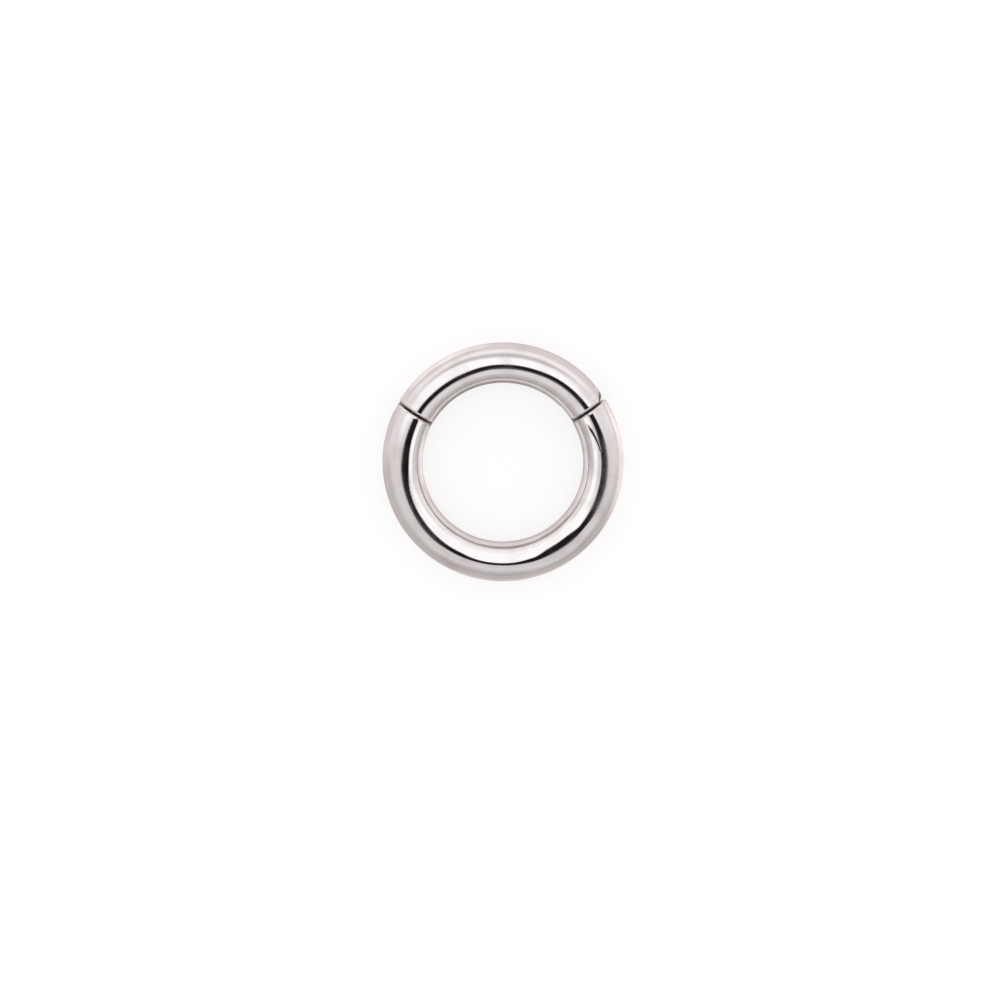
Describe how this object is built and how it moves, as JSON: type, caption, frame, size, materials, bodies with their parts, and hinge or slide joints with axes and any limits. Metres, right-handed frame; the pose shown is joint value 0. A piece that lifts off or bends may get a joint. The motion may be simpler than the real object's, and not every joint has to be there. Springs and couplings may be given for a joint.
{
  "type": "piercing hoop",
  "caption": "Round-wire piercing hoop in mirror-polished steel, with a hinged segment that swings open and snaps shut on a slotted catch.",
  "frame": {"origin": "centre of the ring, on the surface that it lies on", "axes": "+Z along the ring's own axis, straight up as it lies; +Y from the ring's centre to the middle of the swinging segment; the hinge is on the +X side and the catch on the -X side"},
  "size_m": [0.012, 0.012, 0.002],
  "materials": {
    "polished_steel": "mirror-polished stainless steel with fine handling marks"
  },
  "bodies": {
    "hoop": {"hoop_body": "polished_steel"},
    "segment": {"swing_segment": "polished_steel", "hinge_pin": "polished_steel"}
  },
  "joints": [
    {"name": "segment_hinge", "type": "hinge", "parent": "hoop", "child": "segment", "pos_m": [0.00443, 0.00336, 0.001], "axis": [0, 0, -1], "range_deg": [0, 90]}
  ]
}
